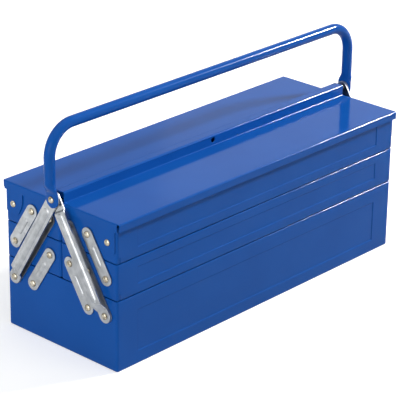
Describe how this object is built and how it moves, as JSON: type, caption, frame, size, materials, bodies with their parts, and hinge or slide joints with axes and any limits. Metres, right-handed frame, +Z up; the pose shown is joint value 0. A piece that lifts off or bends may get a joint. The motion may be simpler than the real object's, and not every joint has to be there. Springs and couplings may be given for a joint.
{
  "type": "cantilever tool box",
  "caption": "Steel tool box with stepped trays that swing out on riveted links to both sides, hinged lids and a folding tubular handle.",
  "frame": {"origin": "middle of the base, on the floor", "axes": "+X along the box's length, -Y out of the front, +Z up"},
  "size_m": [0.574, 0.2018, 0.3015],
  "materials": {
    "blue_enamel": "glossy baked enamel",
    "plated_steel": "zinc plated, satin",
    "rivets": "bright plated"
  },
  "bodies": {
    "root": {"bottom_box": "blue_enamel", "bottom_box_rivets": "rivets", "handle_rivets": "rivets", "front_arm_left": "plated_steel", "front_arm_right": "plated_steel", "rear_arm_left": "plated_steel", "rear_arm_right": "plated_steel"},
    "handle": {"handle": "blue_enamel"},
    "front_long_links": {"front_long_link_left": "plated_steel", "front_long_link_right": "plated_steel"},
    "front_lower_links": {"front_lower_link_left": "plated_steel", "front_lower_link_right": "plated_steel"},
    "front_upper_links": {"front_upper_link_left": "plated_steel", "front_upper_link_right": "plated_steel"},
    "front_middle_tray": {"front_middle_tray": "blue_enamel", "front_middle_tray_rivets": "rivets"},
    "front_top_tray": {"front_top_tray": "blue_enamel", "front_top_tray_rivets": "rivets"},
    "front_lid": {"front_lid": "blue_enamel", "front_lid_ear_left": "blue_enamel", "front_lid_ear_right": "blue_enamel"},
    "rear_long_links": {"rear_long_link_left": "plated_steel", "rear_long_link_right": "plated_steel"},
    "rear_lower_links": {"rear_lower_link_left": "plated_steel", "rear_lower_link_right": "plated_steel"},
    "rear_upper_links": {"rear_upper_link_left": "plated_steel", "rear_upper_link_right": "plated_steel"},
    "rear_middle_tray": {"rear_middle_tray": "blue_enamel", "rear_middle_tray_rivets": "rivets"},
    "rear_top_tray": {"rear_top_tray": "blue_enamel", "rear_top_tray_rivets": "rivets"},
    "rear_lid": {"rear_lid": "blue_enamel", "rear_lid_ear_left": "blue_enamel", "rear_lid_ear_right": "blue_enamel"}
  },
  "joints": [
    {"name": "front_swing", "type": "hinge", "parent": "root", "child": "front_long_links", "pos_m": [0, -0.0795, 0.0725], "axis": [1, 0, 0], "range_deg": [0, 65]},
    {"name": "front_lower_link_turn", "type": "hinge", "parent": "root", "child": "front_lower_links", "pos_m": [0, -0.0485, 0.0725], "axis": [1, 0, 0], "range_deg": [0, 65]},
    {"name": "front_middle_tray_level", "type": "hinge", "parent": "front_long_links", "child": "front_middle_tray", "pos_m": [0, -0.0485, 0.121], "axis": [1, 0, 0], "range_deg": [-65, 0]},
    {"name": "front_upper_link_turn", "type": "hinge", "parent": "front_middle_tray", "child": "front_upper_links", "pos_m": [0, -0.0795, 0.121], "axis": [1, 0, 0], "range_deg": [0, 65]},
    {"name": "front_top_tray_level", "type": "hinge", "parent": "front_long_links", "child": "front_top_tray", "pos_m": [0, -0.0175, 0.1695], "axis": [1, 0, 0], "range_deg": [-65, 0]},
    {"name": "front_lid_hinge", "type": "hinge", "parent": "front_top_tray", "child": "front_lid", "pos_m": [0, -0.082, 0.1695], "axis": [1, 0, 0], "range_deg": [0, 95]},
    {"name": "rear_swing", "type": "hinge", "parent": "root", "child": "rear_long_links", "pos_m": [0, 0.0795, 0.0725], "axis": [-1, 0, 0], "range_deg": [0, 65]},
    {"name": "rear_lower_link_turn", "type": "hinge", "parent": "root", "child": "rear_lower_links", "pos_m": [0, 0.0485, 0.0725], "axis": [-1, 0, 0], "range_deg": [0, 65]},
    {"name": "rear_middle_tray_level", "type": "hinge", "parent": "rear_long_links", "child": "rear_middle_tray", "pos_m": [0, 0.0485, 0.121], "axis": [-1, 0, 0], "range_deg": [-65, 0]},
    {"name": "rear_upper_link_turn", "type": "hinge", "parent": "rear_middle_tray", "child": "rear_upper_links", "pos_m": [0, 0.0795, 0.121], "axis": [-1, 0, 0], "range_deg": [0, 65]},
    {"name": "rear_top_tray_level", "type": "hinge", "parent": "rear_long_links", "child": "rear_top_tray", "pos_m": [0, 0.0175, 0.1695], "axis": [-1, 0, 0], "range_deg": [-65, 0]},
    {"name": "rear_lid_hinge", "type": "hinge", "parent": "rear_top_tray", "child": "rear_lid", "pos_m": [0, 0.082, 0.1695], "axis": [-1, 0, 0], "range_deg": [0, 95]},
    {"name": "handle_fold", "type": "hinge", "parent": "root", "child": "handle", "pos_m": [0, 0, 0.2035], "axis": [1, 0, 0], "range_deg": [-89, 89]}
  ],
  "couplings": [
    {"joint": "front_lower_link_turn", "follows": "front_swing", "ratio": 1},
    {"joint": "front_middle_tray_level", "follows": "front_swing", "ratio": -1},
    {"joint": "front_upper_link_turn", "follows": "front_swing", "ratio": 1},
    {"joint": "front_top_tray_level", "follows": "front_swing", "ratio": -1},
    {"joint": "rear_lower_link_turn", "follows": "rear_swing", "ratio": 1},
    {"joint": "rear_middle_tray_level", "follows": "rear_swing", "ratio": -1},
    {"joint": "rear_upper_link_turn", "follows": "rear_swing", "ratio": 1},
    {"joint": "rear_top_tray_level", "follows": "rear_swing", "ratio": -1}
  ]
}
